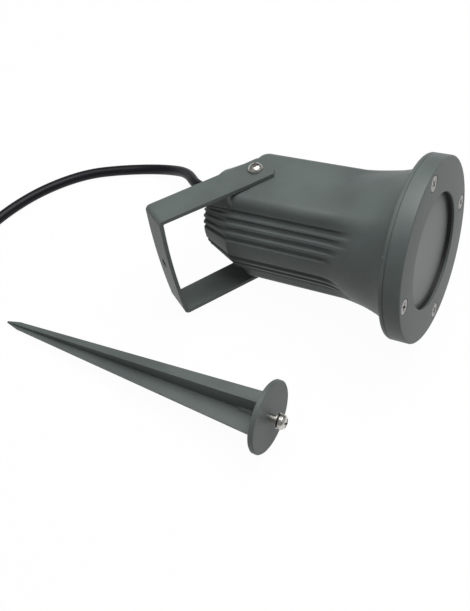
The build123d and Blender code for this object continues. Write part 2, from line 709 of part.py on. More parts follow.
def spike():
    """The ground spike: four tapering blades, the round plate and the screw boss."""
    point_x = POINT_L - SPIKE_L
    blades = loft([cross_section(-PLATE_T, BLADE_SPAN, BLADE_ROOT_T, BLADE_EDGE_T),
                   cross_section(point_x, BLADE_TIP_SPAN, BLADE_ROOT_T * 0.6, BLADE_EDGE_T)], ruled=True)
    tip = loft([cross_section(point_x, BLADE_TIP_SPAN, BLADE_ROOT_T * 0.6, BLADE_EDGE_T),
                cross_section(-SPIKE_L, POINT_SPAN, POINT_SPAN * 1.2, POINT_SPAN * 0.8)], ruled=True)
    edge = PLATE_EDGE_R
    plate = spun([(-PLATE_T, 0), (-PLATE_T, PLATE_R - edge), (edge - PLATE_T, PLATE_R), (-edge, PLATE_R),
                  (0, PLATE_R - edge), (0, 0)])
    boss_x = BOSS_R - PLATE_T - BOSS_L
    boss = rod_x(boss_x, -PLATE_T, BOSS_R) + Pos(boss_x, 0, 0) * Sphere(BOSS_R)
    solid = blades + tip + plate + boss
    return solid - rod_x(-SPIKE_SCREW_L - 0.5, 1, PIVOT_R + THREAD_GAP)


def spike_hardware():
    """The plate's half-driven screw with its two washers, by name."""
    flat_x = SPIKE_SCREW_OUT
    spring_x = flat_x + FLAT_WASHER_T
    head_x = spring_x + SPRING_WASHER_T
    bore = PIVOT_R + THREAD_GAP
    spring = ring_x(spring_x, head_x, SPRING_WASHER_R, bore)
    spring -= Pos((spring_x + head_x) / 2, 0, SPRING_WASHER_R - 0.4) * Rot(25, 0, 0) * Box(2, 0.5, 3)
    screw = along_x(pan_screw(PIVOT_R, SPIKE_SCREW_L, SPIKE_HEAD_R, SPIKE_HEAD_H))
    return {"spike_screw": Pos(head_x, 0, 0) * Rot(35, 0, 0) * screw, "spike_spring_washer": spring,
            "spike_flat_washer": ring_x(flat_x, spring_x, FLAT_WASHER_R, bore)}


# ------------------------------------------------------------ how the pieces lie
def resting_normal():
    """The floor's normal in the head's frame: it touches the flange, a pivot screw and the web."""
    turn = math.radians(BRACKET_ANGLE)
    half = STRIP_W / 2
    web_x = -ARM_REACH * math.cos(turn) - half * math.sin(turn)
    web_y = -ARM_REACH * math.sin(turn) + half * math.cos(turn)
    web_z = -ARM_Z - ARM_SPREAD
    head_z = PIVOT_HEAD_Z + PAN_HEAD_H
    a = b = 0.1
    c = 1.0
    for _ in range(60):
        a = (RING_R * math.sqrt(1 - a * a) - head_z * c) / FLANGE_X
        b = (-head_z * c - web_z * c - web_x * a) / web_y
        c = math.sqrt(1 - a * a - b * b)
    return Vector(a, b, c)


def head_place():
    """Lays the head down: a location from the head's frame to the floor's."""
    normal = resting_normal()
    forward = Vector(1, 0, 0) - normal * normal.X
    floor = Plane(origin=(0, 0, 0), x_dir=forward, z_dir=normal)
    return floor.location.inverse()


def spike_place():
    """Lays the spike down on its plate's rear rim and its point."""
    span = SPIKE_L - POINT_L - PLATE_T
    tilt = math.atan((PLATE_R - BLADE_TIP_SPAN) / span)
    height = PLATE_T * math.sin(tilt) + PLATE_R * math.cos(tilt)
    return Pos(SPIKE_X, SPIKE_Y, height) * Rot(0, -math.degrees(tilt), 0)


# ------------------------------------------------------------ lead on the floor
def cable_route(exit_point, exit_way):
    """The free lead's corners, from the grommet's nose to the start of the coil."""
    z = CABLE_R
    second = exit_point + exit_way * 15.0
    coil_x = COIL_CENTRE_X + COIL_R
    return [exit_point, second, (-66.0, 22.5, 13.5), (-81.0, 31.0, 6.0), (-96.0, 31.5, z),
            (-112.0, 23.5, z), (-127.0, 13.0, z), (-140.0, -2.0, z), (-150.0, -19.0, z), (-157.0, -40.0, z),
            (coil_x, -63.0, z), (coil_x, COIL_CENTRE_Y, z)]


def route_radii(points):
    """The largest radius that each corner's two runs allow, and the turns."""
    radii = []
    for before, here, after in zip(points, points[1:], points[2:]):
        a = here - before
        b = after - here
        turn = a.get_angle(b)
        radii.append(0.45 * min(a.length, b.length) / math.tan(math.radians(turn) / 2))
    return radii


def circle_area():
    """The lead's cross-section."""
    return math.pi * CABLE_R**2


def free_cable(points):
    """The free stretch of the lead, as a tube on runs and arcs."""
    radii = route_radii(points)
    print("cable radii", [round(r, 1) for r in radii])
    path = FilletPolyline(*points, radius=radii)
    start = Plane(origin=points[0], z_dir=points[1] - points[0])
    solid = sweep(start * Circle(CABLE_R), path=path)
    length = path.length
    print("cable length", round(length, 1), "volume ratio", round(solid.volume / (circle_area() * length), 4))
    return solid, length


def biarc(p0, t0, p1, t1):
    """Two arcs that leave p0 along t0 and arrive at p1 along t1."""
    v = p1 - p0
    t = t0 + t1
    k = 2 * (1 - t0.dot(t1))
    vt = v.dot(t)
    d = v.dot(v) / (4 * v.dot(t1)) if k < 1e-9 else (math.sqrt(vt * vt + k * v.dot(v)) - vt) / k
    middle = (p0 + t0 * d + p1 - t1 * d) * 0.5
    first = Edge.make_tangent_arc(p0, t0, middle)
    return [first, Edge.make_tangent_arc(middle, first % 1, p1)]


def coil_point(turns):
    """The winding's centre line after a number of turns: in, up a layer, and out again."""
    inner = COIL_R - COIL_PITCH * COIL_TURNS
    climb = min(max((turns - COIL_TURNS) / 0.5, 0.0), 1.0)
    if turns <= COIL_TURNS:
        radius = COIL_R - COIL_PITCH * turns
    elif climb < 1:
        radius = inner - COIL_CLIMB_DIP * math.sin(math.pi * climb) ** 2
    else:
        radius = inner + COIL_PITCH * (turns - COIL_TURNS - 0.5)
    lift = COIL_LIFT * climb * climb * (3 - 2 * climb)
    angle = -2 * math.pi * turns
    return Vector(COIL_CENTRE_X + radius * math.cos(angle), COIL_CENTRE_Y + radius * math.sin(angle),
                  CABLE_R + lift)


def coil_way(turns):
    """The winding's direction there, taken across a small step."""
    step = 1e-4
    return (coil_point(turns + step) - coil_point(turns - step)).normalized()


def coil_path():
    """The coil's centre line: a straight start, biarcs of a quarter turn, and a straight end."""
    count = round((COIL_TURNS * 2 + 0.5) * 4)
    stations = [i / 4 for i in range(count + 1)]
    points = [coil_point(s) for s in stations]
    ways = [coil_way(s) for s in stations]
    ways[0] = Vector(0, -1, 0)
    shift = ways[0] * CABLE_D
    edges = [Edge.make_line(points[0], points[0] + shift)]
    points = [p + shift for p in points]
    for i in range(count):
        edges += biarc(points[i], ways[i], points[i + 1], ways[i + 1])
    edges.append(Edge.make_line(points[-1], points[-1] + ways[-1] * CABLE_D))
    return Wire(edges), points[-1] + ways[-1] * CABLE_D, ways[-1]


def least_gap(wire):
    """The least clear distance between two stretches of the winding."""
    count = 900
    samples = [wire @ (i / count) for i in range(count + 1)]
    step = wire.length / count
    apart = int(CABLE_D * 3 / step) + 1
    gaps = [min((a - b).length for b in samples[i + apart:]) for i, a in enumerate(samples[:-apart])]
    return min(gaps) - CABLE_D


def cable_coil():
    """The put-away length, as one unbroken tube wound in two layers."""
    wire, end, way = coil_path()
    print("coil length", round(wire.length, 1), "least gap", round(least_gap(wire), 2))
    start = Plane(origin=wire @ 0, z_dir=wire % 0)
    solid = sweep(start * Circle(CABLE_R), path=wire)
    print("coil volume ratio", round(solid.volume / (circle_area() * wire.length), 4))
    flat = Pos(COIL_CENTRE_X, COIL_CENTRE_Y, CUT_FLAT - CABLE_D) * Box(4 * COIL_R, 4 * COIL_R, 2 * CABLE_D)
    return solid - flat, end, way, wire.length


def core_ends(end, way):
    """The three stripped cores at the lead's bare end, and their ferrules."""
    across = Vector(-way.Y, way.X, 0)
    ends = {}
    ferrules = []
    for i, name in enumerate(("cable_core_brown", "cable_core_blue", "cable_core_earth")):
        turn = math.radians(90 + 120 * i)
        side = across * math.cos(turn) + Vector(0, 0, 1) * math.sin(turn)
        root = end + side * 1.4
        bend = root + way * 3
        tip = end + way * CORE_L + side * (1.4 + CORE_SPREAD)
        path = FilletPolyline(root, bend, tip, radius=CORE_BEND_R)
        ends[name] = sweep(Plane(origin=root, z_dir=way) * Circle(CORE_D / 2), path=path)
        last = (tip - bend).normalized()
        ferrules.append(bar(tip + last * 0.02, last, FERRULE_D / 2, FERRULE_L))
    ends["core_ferrules"] = group(ferrules)
    return ends


# ------------------------------------------------------------ the whole part
def head_nodes():
    """Every piece of the head and its bracket, in the head's frame."""
    nodes = {"housing": housing(), "front_ring": front_ring(), "ring_screws": ring_screws(),
             "lens_glass": lens_glass(), "lens_gasket": lens_gasket(), "seat_seal": seat_seal(),
             "u_bracket": bracket(), "pivot_screws": pivot_screws(), "pivot_washers": pivot_washers(),
             "gu10_reflector": gu10_reflector(), "gu10_cover": gu10_cover(), "gu10_base": gu10_base(),
             "gu10_pins": gu10_pins(), "lamp_holder": lamp_holder(), "holder_bracket": holder_bracket(),
             "bracket_screws": bracket_screws(), "holder_screws": holder_screws(),
             "terminal_block": terminal_block(), "terminal_clamps": terminal_clamps(),
             "terminal_screw": terminal_screw(), "earth_screw": earth_screw(), "earth_tag": earth_tag(),
             "cable_grommet": grommet(), "cable_inner": cable_inner()}
    nodes.update(inner_leads())
    return nodes


def assemble():
    """All pieces on the floor, with the origin under the middle of the lamp and spike together."""
    place = head_place()
    nodes = {name: place * solid for name, solid in head_nodes().items()}
    lowest = min(solid.bounding_box().min.Z for solid in nodes.values())
    lift = Pos(0, 0, -lowest)
    nodes = {name: lift * solid for name, solid in nodes.items()}
    laid = spike_place()
    nodes["spike"] = laid * spike()
    for name, solid in spike_hardware().items():
        nodes[name] = laid * solid
    boxes = [solid.bounding_box() for solid in nodes.values()]
    middle_x = (min(b.min.X for b in boxes) + max(b.max.X for b in boxes)) / 2
    middle_y = (min(b.min.Y for b in boxes) + max(b.max.Y for b in boxes)) / 2
    head = lift * place
    exit_point = (head * Pos(NOSE_X, CABLE_Y, 0)).position
    exit_way = ((head * Pos(NOSE_X - 1, CABLE_Y, 0)).position - exit_point).normalized()
    route = [Vector(*p) if isinstance(p, tuple) else p for p in cable_route(exit_point, exit_way)]
    nodes["cable"], free_length = free_cable(route)
    nodes["cable_coil"], end, way, coil_length = cable_coil()
    nodes.update(core_ends(end, way))
    print("lead outside the housing", round(free_length + coil_length, 1))
    centre = Pos(-middle_x, -middle_y, 0)
    print("pivot at", (centre * head).position, "spike frame at", (centre * laid).position)
    print("route", [tuple(round(c, 2) for c in (p + Vector(-middle_x, -middle_y, 0))) for p in route])
    print("head axes", (centre * head).orientation)
    return {name: centre * solid for name, solid in nodes.items()}


os.makedirs("parts", exist_ok=True)
for node, shape in assemble().items():
    export_step(shape, f"parts/{node}.step")
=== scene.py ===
# %% [markdown]
# # A garden spike spotlight
# The lamp head lies on its side in its U bracket, its ground spike lies in front of it, and the rubber
# lead runs away to the left. The solids come from the CAD model, already in place. This lesson adds what
# CAD leaves out: the camera, the light, a soft lead that lies like rubber, and finishes with the grain,
# sheen and wear of the real thing.

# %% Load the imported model
import json
import math

import bmesh
import bpy
from mathutils import Matrix, Vector


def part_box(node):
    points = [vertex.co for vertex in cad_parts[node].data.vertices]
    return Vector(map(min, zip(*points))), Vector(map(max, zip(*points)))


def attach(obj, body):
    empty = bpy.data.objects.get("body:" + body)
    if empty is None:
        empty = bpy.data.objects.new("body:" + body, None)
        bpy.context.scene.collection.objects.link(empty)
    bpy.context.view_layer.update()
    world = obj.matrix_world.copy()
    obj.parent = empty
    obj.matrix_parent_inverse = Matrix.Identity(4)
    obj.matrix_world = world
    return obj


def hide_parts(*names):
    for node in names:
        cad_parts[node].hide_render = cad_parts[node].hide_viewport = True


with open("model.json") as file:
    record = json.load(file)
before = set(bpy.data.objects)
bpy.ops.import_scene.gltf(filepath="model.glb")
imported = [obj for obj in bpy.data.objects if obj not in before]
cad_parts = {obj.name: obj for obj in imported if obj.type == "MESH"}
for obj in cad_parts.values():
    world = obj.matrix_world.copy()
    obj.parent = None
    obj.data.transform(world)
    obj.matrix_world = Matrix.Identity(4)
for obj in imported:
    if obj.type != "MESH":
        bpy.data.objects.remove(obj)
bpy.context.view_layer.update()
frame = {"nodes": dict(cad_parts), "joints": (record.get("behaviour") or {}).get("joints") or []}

# %% [markdown]
# ## The camera
# A photograph is matched by the place, the direction and the lens of the camera that took it. The three
# directions below are the camera's own right, up and backwards, seen from the surface that the set lies
# on. They were found by laying the lamp's known circles over the picture. Setting them as the columns of
# a matrix gives the camera its turn without any angles.

# %% The camera
IMAGE_WIDTH = 470
FOCAL_PIXELS = 800
eye = Vector((0.14517, -0.21136, 0.34036))
camera_right = Vector((0.8836, 0.4614, -0.0824))
camera_up = Vector((-0.3300, 0.7374, 0.5898))
camera_back = camera_right.cross(camera_up)

lens = bpy.data.cameras.new("camera")
lens.sensor_fit = "HORIZONTAL"
lens.sensor_width = 36
lens.lens = lens.sensor_width * FOCAL_PIXELS / IMAGE_WIDTH
lens.clip_start = 0.01
camera = bpy.data.objects.new("camera", lens)
turn = Matrix((camera_right, camera_up, camera_back)).transposed().to_4x4()
camera.matrix_world = Matrix.Translation(eye) @ turn
bpy.context.scene.collection.objects.link(camera)
bpy.context.scene.camera = camera
print("lens", round(lens.lens, 2), "mm")

# %% [markdown]
# ## The lead
# The lead is a three-core rubber cable, 6 mm thick. It leaves the rear of the housing through a tapered
# strain relief, sinks to the floor and runs off in one lazy curve. A curve object suits it better than a
# mesh: a NURBS spline of order 3 bends smoothly between a few control points, as rubber does, and a
# round bevel gives it its thickness. The length that the picture doesn't show is wound into a neat
# two-layer coil: inwards on the floor, up at the middle, and outwards again on top.

# %% The route from the housing to the coil
LEAD_THICKNESS = 0.006
FLOOR_LINE = LEAD_THICKNESS / 2
ROUTE = [(-0.02803, 0.04684, 0.0256), (-0.04284, 0.04684, 0.02323), (-0.0581, 0.0619, 0.0155),
         (-0.0755, 0.0672, 0.0065), (-0.0909, 0.0652, FLOOR_LINE), (-0.1068, 0.0574, FLOOR_LINE),
         (-0.12213, 0.0479, FLOOR_LINE), (-0.13513, 0.0334, FLOOR_LINE), (-0.14513, 0.0164, FLOOR_LINE),
         (-0.15213, -0.0046, FLOOR_LINE), (-0.15513, -0.0276, FLOOR_LINE)]
route = [Vector(point) for point in ROUTE]
print("route", len(route), "points,", round(sum((b - a).length for a, b in zip(route, route[1:])), 3), "m")

# %% The coil's turns
COIL_MIDDLE = Vector((-0.19933, -0.0496, 0))
COIL_OUTER = 0.0442
COIL_PITCH = 0.0068
TURNS_PER_LAYER = 2.5
LAYER_LIFT = 0.0065
CLIMB_DIP = 0.001
STEPS_PER_TURN = 24


def coil_point(turns):
    """The middle of the lead after this many turns: in, up a layer in half a turn, and out."""
    climb = min(max((turns - TURNS_PER_LAYER) / 0.5, 0), 1)
    radius = COIL_OUTER - COIL_PITCH * min(turns, TURNS_PER_LAYER)
    radius -= CLIMB_DIP * math.sin(math.pi * climb) ** 2
    radius += COIL_PITCH * max(turns - TURNS_PER_LAYER - 0.5, 0)
    lift = LAYER_LIFT * climb * climb * (3 - 2 * climb)
    angle = -2 * math.pi * turns
    return COIL_MIDDLE + Vector((radius * math.cos(angle), radius * math.sin(angle), FLOOR_LINE + lift))


total_turns = 2 * TURNS_PER_LAYER + 0.5
steps = round(total_turns * STEPS_PER_TURN)
straight_in = Vector((0, -LEAD_THICKNESS, 0))
coil = [coil_point(step / STEPS_PER_TURN) + straight_in for step in range(steps + 1)]
straight_out = (coil[-1] - coil[-2]).normalized() * LEAD_THICKNESS
lead_line = route + [coil_point(0)] + coil + [coil[-1] + straight_out]
print("coil", total_turns, "turns,", len(lead_line), "control points in all")


# %% The lead as one NURBS spline
def rope_curve(name, points, thickness):
    """A round tube along one smooth open spline. Its points' radii carry the thickness."""
    curve = bpy.data.curves.new(name, "CURVE")
    curve.dimensions = "3D"
    curve.bevel_depth = 1.0
    curve.bevel_resolution = 5
    curve.resolution_u = 6
    curve.use_fill_caps = True
    spline = curve.splines.new("NURBS")
    spline.points.add(len(points) - 1)
    for control, point in zip(spline.points, points):
        control.co = (*point, 1)
        control.radius = thickness / 2
    spline.order_u = 3
    spline.use_endpoint_u = True
    piece = bpy.data.objects.new(name, curve)
    bpy.context.scene.collection.objects.link(piece)
    return piece


def line_length(points):
    """The length of the smooth line that these control points give."""
    middles = [(a + b) / 2 for a, b in zip(points, points[1:])]
    total = (middles[0] - points[0]).length + (points[-1] - middles[-1]).length
    for before, corner, after in zip(middles, points[1:], middles[1:]):
        bends = [before.lerp(corner, t).lerp(corner.lerp(after, t), t) for t in (0, 0.25, 0.5, 0.75, 1)]
        total += sum((b - a).length for a, b in zip(bends, bends[1:]))
    return total


lead = rope_curve("lead", lead_line, LEAD_THICKNESS)
lead_length = line_length(lead_line)
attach(lead, "head")
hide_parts("cable", "cable_coil")
print("lead outside the housing", round(lead_length, 3), "m")

# %% [markdown]
# ## Recipes for finishes
# A finish is a small sum of patterns: a colour, a grain, some dirt. Blender writes such sums as nodes,
# which are slow to wire by hand. The class below wraps one socket and gives it Python's operators, so
# that a mask is written as an expression and its Math nodes appear by themselves. Any other node comes
# from one method that takes the node's type, its settings and its inputs.


# %% Sockets that can be added and multiplied
class Wire:
    """One socket of a recipe, with Python's operators for its maths."""

    def __init__(self, recipe, socket):
        self.recipe = recipe
        self.socket = socket

    def maths(self, operation, *values):
        return self.recipe.node("ShaderNodeMath", {"operation": operation}, dict(enumerate(values)))

    def __add__(self, other):
        return self.maths("ADD", self, other)

    def __radd__(self, other):
        return self.maths("ADD", other, self)

    def __sub__(self, other):
        return self.maths("SUBTRACT", self, other)

    def __rsub__(self, other):
        return self.maths("SUBTRACT", other, self)

    def __mul__(self, other):
        return self.maths("MULTIPLY", self, other)

    def __rmul__(self, other):
        return self.maths("MULTIPLY", other, self)

    def __truediv__(self, other):
        return self.maths("DIVIDE", self, other)

    def __pow__(self, other):
        return self.maths("POWER", self, other)


# %% Recipes
class Recipe:
    """A material that is written as a list of steps and ends in one shader."""

    def __init__(self, name):
        self.material = bpy.data.materials.new(name)
        self.material.use_nodes = True
        self.tree = self.material.node_tree
        self.shader = self.tree.nodes["Principled BSDF"]

    def node(self, kind, settings=None, inputs=None, output=0):
        """One node: its settings first, then the values or wires of its sockets."""
        made = self.tree.nodes.new(kind)
        for key, value in (settings or {}).items():
            if key == "stops":
                self.set_stops(made.color_ramp, value)
            else:
                setattr(made, key, value)
        for key, value in (inputs or {}).items():
            self.put(made.inputs[key], value)
        return Wire(self, made.outputs[output])

    def put(self, socket, value):
        """Sets a socket to a value, or joins a wire to it."""
        if isinstance(value, Wire):
            self.tree.links.new(value.socket, socket)
        else:
            socket.default_value = value

    def set_stops(self, ramp, stops):
        """Gives a ramp its stops."""
        while len(ramp.elements) < len(stops):
            ramp.elements.new(0.5)
        for element, (place, colour) in zip(ramp.elements, stops):
            element.position = place
            element.color = colour

    def place(self):
        """Where a point lies on the piece, in metres."""
        return self.node("ShaderNodeTexCoord", output="Object")

    def noise(self, place, size, detail=2.0, roughness=0.5):
        """Cloudy noise whose spots are about this many metres across, from 0 to 1."""
        inputs = {"Vector": place, "Scale": 1 / size, "Detail": detail, "Roughness": roughness}
        return self.node("ShaderNodeTexNoise", {}, inputs)

    def step(self, value, low, high):
        """0 below low and 1 above high, smooth between."""
        settings = {"interpolation_type": "SMOOTHSTEP", "clamp": True}
        return self.node("ShaderNodeMapRange", settings, {0: value, 1: low, 2: high})

    def mix(self, mask, first, second):
        """The first colour where the mask is 0, the second where it is 1."""
        inputs = {0: mask, 6: rgba(first), 7: rgba(second)}
        return self.node("ShaderNodeMix", {"data_type": "RGBA", "clamp_factor": True}, inputs, output=2)

    def bump(self, height, depth, strength=1.0):
        """A surface relief of this depth in metres."""
        return self.node("ShaderNodeBump", {}, {"Height": height, "Distance": depth, "Strength": strength})

    def finish(self, **sockets):
        """Joins the recipe to the shader, with words such as Base_Color for its sockets."""
        for key, value in sockets.items():
            self.put(self.shader.inputs[key.replace("_", " ")], rgba(value))
        return self.material


def rgba(value):
    """A colour of three numbers with its alpha; anything else as it is."""
    return (*value, 1.0) if isinstance(value, tuple) and len(value) == 3 else value


def dress(material, *names):
    """Gives a finish to CAD nodes."""
    for name in names:
        for slot in frame["nodes"][name].material_slots:
            slot.material = material
    print(material.name, "on", ", ".join(names))


# %% [markdown]
# ## Where the lamp lies
# Some finishes follow the lamp's own axis: painted shade darkens the glass near its rim, and the paint is
# chipped along the flange's rear edge. The axis comes from the joint of the imported model and from the
# glass, so nothing has to be measured again.

# %% The lamp's axis
glass_low, glass_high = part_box("lens_glass")
glass_middle = (Vector(glass_low) + Vector(glass_high)) / 2
tilt_joint = next(joint for joint in frame["joints"] if joint["name"] == "head_tilt")
pivot = Vector(tilt_joint["pos_m"])
lamp_axis = (glass_middle - pivot).normalized()
print("pivot", [round(v, 4) for v in pivot], "lamp axis", [round(v, 3) for v in lamp_axis])


def along_lamp(recipe, place):
    """How far a point lies in front of the pivot along the lamp's axis, and how far out from it."""
    from_pivot = recipe.node("ShaderNodeVectorMath", {"operation": "SUBTRACT"}, {0: place, 1: tuple(pivot)})
    ahead = recipe.node("ShaderNodeVectorMath", {"operation": "DOT_PRODUCT"},
                        {0: from_pivot, 1: tuple(lamp_axis)}, output="Value")
    on_axis = recipe.node("ShaderNodeVectorMath", {"operation": "SCALE"},
                          {0: tuple(lamp_axis), "Scale": ahead})
    out = recipe.node("ShaderNodeVectorMath", {"operation": "DISTANCE"}, {0: from_pivot, 1: on_axis},
                      output="Value")
    return ahead, out


# %% [markdown]
# ## The casting's soft forms
# A die casting has no sharp inner corners: the flat pad melts into the flare, and the grooves fade out
# where the flare rises. Such forms are easy to state as distances. The function below says how far a
# point is outside the body, the pad and the flare, and blends the three where they meet. A search along
# each ray from the lamp's axis then finds the skin. The CAD solid's sizes are repeated here in
# millimetres, so behind the flange the skin lies on the solid wherever nothing is blended.

# %% The lamp's own frame
hinge_axis = Vector(tilt_joint["axis"]).normalized()
if hinge_axis.z < 0:
    hinge_axis = -hinge_axis
side_axis = hinge_axis.cross(lamp_axis).normalized()
MM = 0.001


def from_lamp(x, y, z):
    """A point of the lamp's own frame, in millimetres, as a place on the floor's frame."""
    return pivot + (lamp_axis * x + side_axis * y + hinge_axis * z) * MM


# %% Distances that describe the casting
REAR_X, REAR_R, REAR_ROUND, CHAMFER_X, BODY_R = -24.5, 21.3, 1.5, -6.5, 28.7
PAD_HEIGHT, PAD_HALF_WIDTH, PAD_REAR_X, PAD_CORNER_R, PAD_SHOULDER_R = 26.8, 20.8, -8.0, 6.5, 4.6
FLARE = [(45.0, 25.6), (48.94, 26.85), (52.88, 28.87), (56.99, 30.6), (61.0, 31.99), (65.05, 33.18),
         (70.06, 34.57), (75.07, 36.44), (80.8, 39.5)]
FLARE_START_SLOPE = 0.25
FLANGE_X = 80.8
PAD_BLEND, FLARE_BLEND = 1.2, 5.0
# Each groove's angle from the hinge's direction, and where along the lamp it ends.
GROOVES = {50.0: 61.5, 58.5: 60.5, 68.0: 58.0, 77.5: 55.0}
GROOVE_DEPTH, GROOVE_FLOOR, GROOVE_MOUTH = 1.4, 0.55, 1.75
FADE_BEFORE, FADE_AFTER = 11, 1
# The search for the skin starts between these radii and halves the gap this many times.
SEARCH_FROM, SEARCH_TO, HALVINGS = 15.0, 46.0, 22


def smooth_step(value, low, high):
    """0 below low, 1 above high, smooth between."""
    t = min(max((value - low) / (high - low), 0.0), 1.0)
    return t * t * (3 - 2 * t)


def blended(first, second, reach):
    """The lesser of two distances, rounded where they are nearly equal."""
    near = max(reach - abs(first - second), 0.0) / reach
    return min(first, second) - near * near * reach / 4


def rounded(first, second, radius):
    """The distance outside two faces that meet in a rounded corner."""
    a, b = first + radius, second + radius
    return math.hypot(max(a, 0.0), max(b, 0.0)) + min(max(a, b), 0.0) - radius


def flare_radius(x):
    """The flare's radius at x, on a smooth curve through its points."""
    if x <= FLARE[0][0]:
        return FLARE[0][1] + (x - FLARE[0][0]) * FLARE_START_SLOPE
    index = max(i for i in range(len(FLARE) - 1) if FLARE[i][0] <= x or i == 0)
    (x0, r0), (x1, r1) = FLARE[index], FLARE[index + 1]
    before = FLARE[max(index - 1, 0)]
    after = FLARE[min(index + 2, len(FLARE) - 1)]
    slope0 = (r1 - before[1]) / (x1 - before[0])
    slope1 = (after[1] - r0) / (after[0] - x0)
    t, width = (x - x0) / (x1 - x0), x1 - x0
    return ((2 * t**3 - 3 * t**2 + 1) * r0 + (t**3 - 2 * t**2 + t) * width * slope0
            + (3 * t**2 - 2 * t**3) * r1 + (t**3 - t**2) * width * slope1)


def body_radius(x):
    """The round body's radius, with its rear edge rounded and its long chamfer."""
    if x < REAR_X + REAR_ROUND:
        return REAR_R - REAR_ROUND + math.sqrt(max(REAR_ROUND**2 - (REAR_X + REAR_ROUND - x) ** 2, 0.0))
    run = CHAMFER_X - REAR_X - REAR_ROUND
    return min(REAR_R + (BODY_R - REAR_R) * (x - REAR_X - REAR_ROUND) / run, BODY_R)


def outside(x, y, z):
    """How far a point lies outside the casting, below zero inside it."""
    y, z = abs(y), abs(z)
    radius = math.hypot(y, z)
    body = max(radius - body_radius(x), z - PAD_HEIGHT)
    plan = rounded(PAD_REAR_X - x, y - PAD_HALF_WIDTH, PAD_CORNER_R)
    pad = rounded(plan, z - PAD_HEIGHT, PAD_SHOULDER_R)
    raised = blended(body, pad, PAD_BLEND)
    return blended(raised, radius - flare_radius(x), FLARE_BLEND)


def skin_radius(x, angle):
    """Where the ray at this angle from the hinge's direction leaves the casting, grooves included."""
    sine, cosine = math.sin(math.radians(angle)), math.cos(math.radians(angle))
    low, high = SEARCH_FROM, SEARCH_TO
    for _ in range(HALVINGS):
        middle = (low + high) / 2
        if outside(x, middle * sine, middle * cosine) < 0:
            low = middle
        else:
            high = middle
    folded = abs((angle + 90) % 180 - 90)
    cut = 0.0
    for centre, end_x in GROOVES.items():
        across = abs(BODY_R * math.sin(math.radians(folded - centre)))
        depth = GROOVE_DEPTH * (1 - smooth_step(x, end_x - FADE_BEFORE, end_x + FADE_AFTER))
        cut = max(cut, depth * (1 - smooth_step(across, GROOVE_FLOOR, GROOVE_MOUTH)))
    return low - cut


# %% The skin's grid
def grid_angles():
    """The rays' angles: close together across grooves and shoulders, wide apart on plain faces."""
    quarter = [0, 4, 8, 12, 16, 20, 24, 28, 31, 33, 34.5, 36, 37.5, 39, 40.5, 42, 43.5, 45, 46.1]
    beside = (0.7, 1.4, 1.9, 2.4, 2.9, 3.4)
    for centre in GROOVES:
        quarter += [centre - step for step in beside[::-1]] + [centre] + [centre + step for step in beside]
    quarter += [54.25, 63.25, 72.75, 83.5, 86.5, 90]
    turns = {round(a % 360, 3) for q in quarter for a in (q, 180 - q, 180 + q, 360 - q)}
    return sorted(turns)


angles = grid_angles()
rows = [-24.5, -24.35, -24.0, -23.5, -23.0, -17.5, -12.0, -8.5]
rows += [-8.0 + 0.5 * i for i in range(15)] + [0.5, 4, 10, 18, 26, 34, 40]
rows += [43 + i for i in range(24)] + [68.5, 70, 71.5, 73, 74.5, 76, 77.5, 79, 80, FLANGE_X]
skin = [[(x, skin_radius(x, angle)) for angle in angles] for x in rows]
print("skin", len(rows), "by", len(angles), "points")

# %% The flange, the seat and the hollow, turned from one line
SEAM_X, RIM_R, POCKET_R, SEAT_X, SEAT_R = 82.9, 45.0, 32.4, 82.3, 28.4
SEAM_EDGE = 0.35
hollow = [(62.0, SEAT_R), (50.0, 24.0), (-6.5, 24.0), (-21.0, 18.0)]
turned = [(FLANGE_X, RIM_R - 0.8), (FLANGE_X + 0.24, RIM_R - 0.24), (FLANGE_X + 0.8, RIM_R),
          (SEAM_X - SEAM_EDGE, RIM_R), (SEAM_X, RIM_R - SEAM_EDGE), (SEAM_X, POCKET_R), (SEAT_X, POCKET_R),
          (SEAT_X, SEAT_R)] + hollow
loops = skin + [[point] * len(angles) for point in turned]


def piece_from(name, mesh):
    """Turns a finished bmesh into an object of the scene."""
    data = bpy.data.meshes.new(name)
    mesh.to_mesh(data)
    mesh.free()
    piece = bpy.data.objects.new(name, data)
    bpy.context.scene.collection.objects.link(piece)
    return piece


def grid_mesh(name, loops, angles):
    """A closed mesh from loops of (x, radius) points, one for each angle, with a cap at either end."""
    mesh = bmesh.new()
    made = []
    for loop in loops:
        ring = []
        for (x, radius), angle in zip(loop, angles):
            turn = math.radians(angle)
            ring.append(mesh.verts.new(from_lamp(x, radius * math.sin(turn), radius * math.cos(turn))))
        made.append(ring)
    count = len(angles)
    for ring, after in zip(made, made[1:]):
        for i in range(count):
            mesh.faces.new((ring[i], ring[(i + 1) % count], after[(i + 1) % count], after[i]))
    mesh.faces.new(made[0][::-1])
    mesh.faces.new(made[-1])
    bmesh.ops.recalc_face_normals(mesh, faces=mesh.faces)
    return piece_from(name, mesh)


def bars(name, items, sides=48):
    """Round bars in the lamp's frame as one object, each from one point to another with its end radii."""
    mesh = bmesh.new()
    for start, end, *radii in items:
        a, b = from_lamp(*start), from_lamp(*end)
        place = Matrix.Translation((a + b) / 2) @ (b - a).to_track_quat("Z", "Y").to_matrix().to_4x4()
        bmesh.ops.create_cone(mesh, cap_ends=True, segments=sides, radius1=radii[0] * MM,
                              radius2=radii[-1] * MM, depth=(b - a).length, matrix=place)
    return piece_from(name, mesh)


